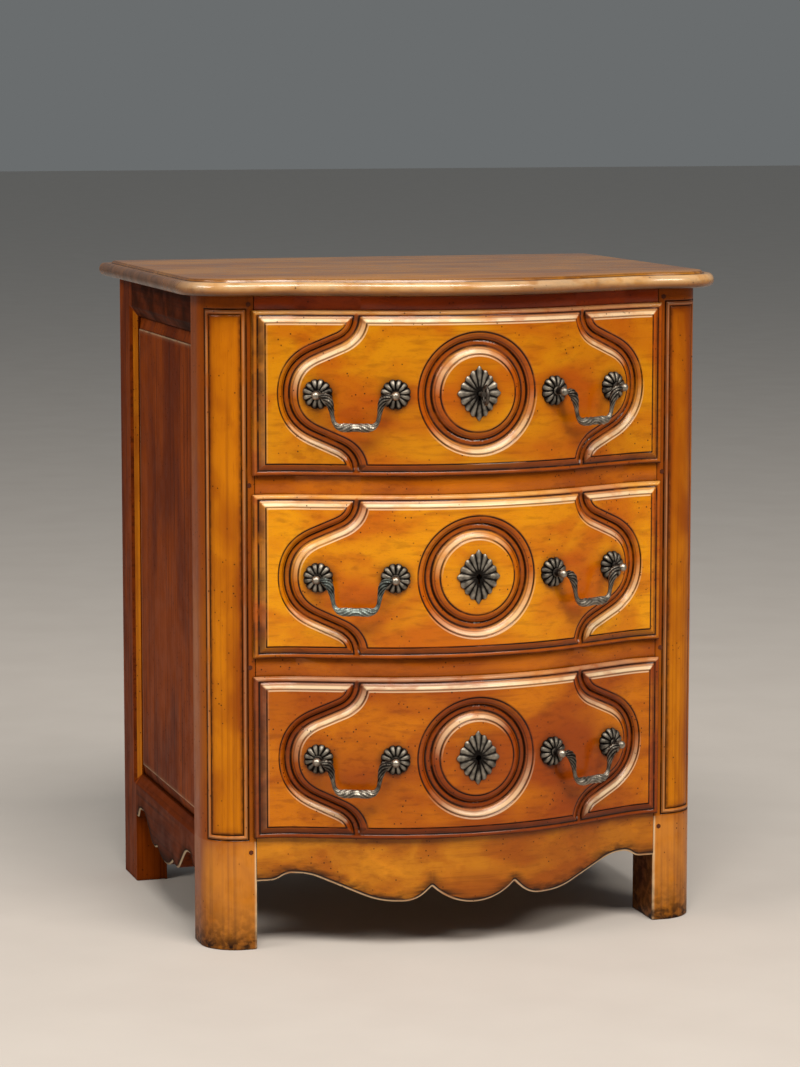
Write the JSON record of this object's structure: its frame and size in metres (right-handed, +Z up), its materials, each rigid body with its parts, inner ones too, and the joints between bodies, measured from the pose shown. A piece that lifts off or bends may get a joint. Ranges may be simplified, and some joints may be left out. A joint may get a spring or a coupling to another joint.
{
  "type": "bow-front chest of drawers",
  "caption": "Bow-front wooden chest with carved lipped drawers, swing bail handles and locks, on square feet with scalloped aprons.",
  "frame": {"origin": "on the floor, under the middle of the whole chest's outer box with the key in its lock", "axes": "+Z up, the drawer fronts face -Y, +X to the right when facing the front"},
  "size_m": [0.7542, 0.653, 0.9],
  "materials": {
    "cherry_wood": "waxed satin with dark glaze in the recesses",
    "inner_wood": "bare",
    "aged_pewter": "blackened with worn bright edges",
    "lock_iron": "dull"
  },
  "bodies": {
    "carcass": {"back_boards": "inner_wood", "front_apron": "cherry_wood", "front_left_post": "cherry_wood", "front_right_post": "cherry_wood", "front_top_rail": "cherry_wood", "joint_pegs": "cherry_wood", "left_drawer_runners": "inner_wood", "left_side_apron": "cherry_wood", "left_side_panel": "cherry_wood", "left_side_top_rail": "cherry_wood", "lower_drawer_divider": "cherry_wood", "rear_bottom_rail": "inner_wood", "rear_left_post": "cherry_wood", "rear_right_post": "cherry_wood", "rear_top_rail": "inner_wood", "right_drawer_runners": "inner_wood", "right_side_apron": "cherry_wood", "right_side_panel": "cherry_wood", "right_side_top_rail": "cherry_wood", "top_board": "cherry_wood", "top_kickers": "inner_wood", "upper_drawer_divider": "cherry_wood"},
    "bottom_drawer": {"bottom_drawer_back": "inner_wood", "bottom_drawer_bottom": "inner_wood", "bottom_drawer_escutcheon": "aged_pewter", "bottom_drawer_front": "cherry_wood", "bottom_drawer_handle_posts": "aged_pewter", "bottom_drawer_left_side": "inner_wood", "bottom_drawer_lock_case": "lock_iron", "bottom_drawer_right_side": "inner_wood", "bottom_drawer_rosettes": "aged_pewter"},
    "middle_drawer": {"middle_drawer_back": "inner_wood", "middle_drawer_bottom": "inner_wood", "middle_drawer_escutcheon": "aged_pewter", "middle_drawer_front": "cherry_wood", "middle_drawer_handle_posts": "aged_pewter", "middle_drawer_left_side": "inner_wood", "middle_drawer_lock_case": "lock_iron", "middle_drawer_right_side": "inner_wood", "middle_drawer_rosettes": "aged_pewter"},
    "top_drawer": {"top_drawer_back": "inner_wood", "top_drawer_bottom": "inner_wood", "top_drawer_escutcheon": "aged_pewter", "top_drawer_front": "cherry_wood", "top_drawer_handle_posts": "aged_pewter", "top_drawer_left_side": "inner_wood", "top_drawer_lock_case": "lock_iron", "top_drawer_right_side": "inner_wood", "top_drawer_rosettes": "aged_pewter"},
    "bottom_left_bail": {"bottom_drawer_left_bail": "aged_pewter"},
    "bottom_lock_bolt": {"bottom_drawer_lock_bolt": "lock_iron"},
    "bottom_right_bail": {"bottom_drawer_right_bail": "aged_pewter"},
    "key": {"drawer_key": "lock_iron"},
    "middle_left_bail": {"middle_drawer_left_bail": "aged_pewter"},
    "middle_lock_bolt": {"middle_drawer_lock_bolt": "lock_iron"},
    "middle_right_bail": {"middle_drawer_right_bail": "aged_pewter"},
    "top_left_bail": {"top_drawer_left_bail": "aged_pewter"},
    "top_lock_bolt": {"top_drawer_lock_bolt": "lock_iron"},
    "top_right_bail": {"top_drawer_right_bail": "aged_pewter"}
  },
  "joints": [
    {"name": "bottom_drawer_slide", "type": "slide", "parent": "carcass", "child": "bottom_drawer", "axis": [0, -1, 0], "range_m": [0, 0.3]},
    {"name": "bottom_left_bail_swing", "type": "hinge", "parent": "bottom_drawer", "child": "bottom_left_bail", "pos_m": [-0.16547, -0.2746, 0.2618], "axis": [-0.9353, 0.3538, 0], "range_deg": [-15, 95]},
    {"name": "bottom_right_bail_swing", "type": "hinge", "parent": "bottom_drawer", "child": "bottom_right_bail", "pos_m": [0.16547, -0.2746, 0.2618], "axis": [-0.9353, -0.3538, 0], "range_deg": [-15, 95]},
    {"name": "bottom_lock_bolt_slide", "type": "slide", "parent": "bottom_drawer", "child": "bottom_lock_bolt", "axis": [0, 0, 1], "range_m": [0, 0.008]},
    {"name": "middle_drawer_slide", "type": "slide", "parent": "carcass", "child": "middle_drawer", "axis": [0, -1, 0], "range_m": [0, 0.3]},
    {"name": "middle_left_bail_swing", "type": "hinge", "parent": "middle_drawer", "child": "middle_left_bail", "pos_m": [-0.16547, -0.2746, 0.5054], "axis": [-0.9353, 0.3538, 0], "range_deg": [-15, 95]},
    {"name": "middle_right_bail_swing", "type": "hinge", "parent": "middle_drawer", "child": "middle_right_bail", "pos_m": [0.16547, -0.2746, 0.5054], "axis": [-0.9353, -0.3538, 0], "range_deg": [-15, 95]},
    {"name": "middle_lock_bolt_slide", "type": "slide", "parent": "middle_drawer", "child": "middle_lock_bolt", "axis": [0, 0, 1], "range_m": [0, 0.008]},
    {"name": "top_drawer_slide", "type": "slide", "parent": "carcass", "child": "top_drawer", "axis": [0, -1, 0], "range_m": [0, 0.3]},
    {"name": "top_left_bail_swing", "type": "hinge", "parent": "top_drawer", "child": "top_left_bail", "pos_m": [-0.16547, -0.2746, 0.749], "axis": [-0.9353, 0.3538, 0], "range_deg": [-15, 95]},
    {"name": "top_right_bail_swing", "type": "hinge", "parent": "top_drawer", "child": "top_right_bail", "pos_m": [0.16547, -0.2746, 0.749], "axis": [-0.9353, -0.3538, 0], "range_deg": [-15, 95]},
    {"name": "top_lock_bolt_slide", "type": "slide", "parent": "top_drawer", "child": "top_lock_bolt", "axis": [0, 0, 1], "range_m": [0, 0.008]},
    {"name": "key_turn", "type": "hinge", "parent": "top_drawer", "child": "key", "pos_m": [0, -0.258, 0.749], "axis": [0, 1, 0], "range_deg": [0, 180]}
  ],
  "couplings": [
    {"joint": "key_turn", "follows": "top_lock_bolt_slide", "rad_per_m": 392.69}
  ]
}
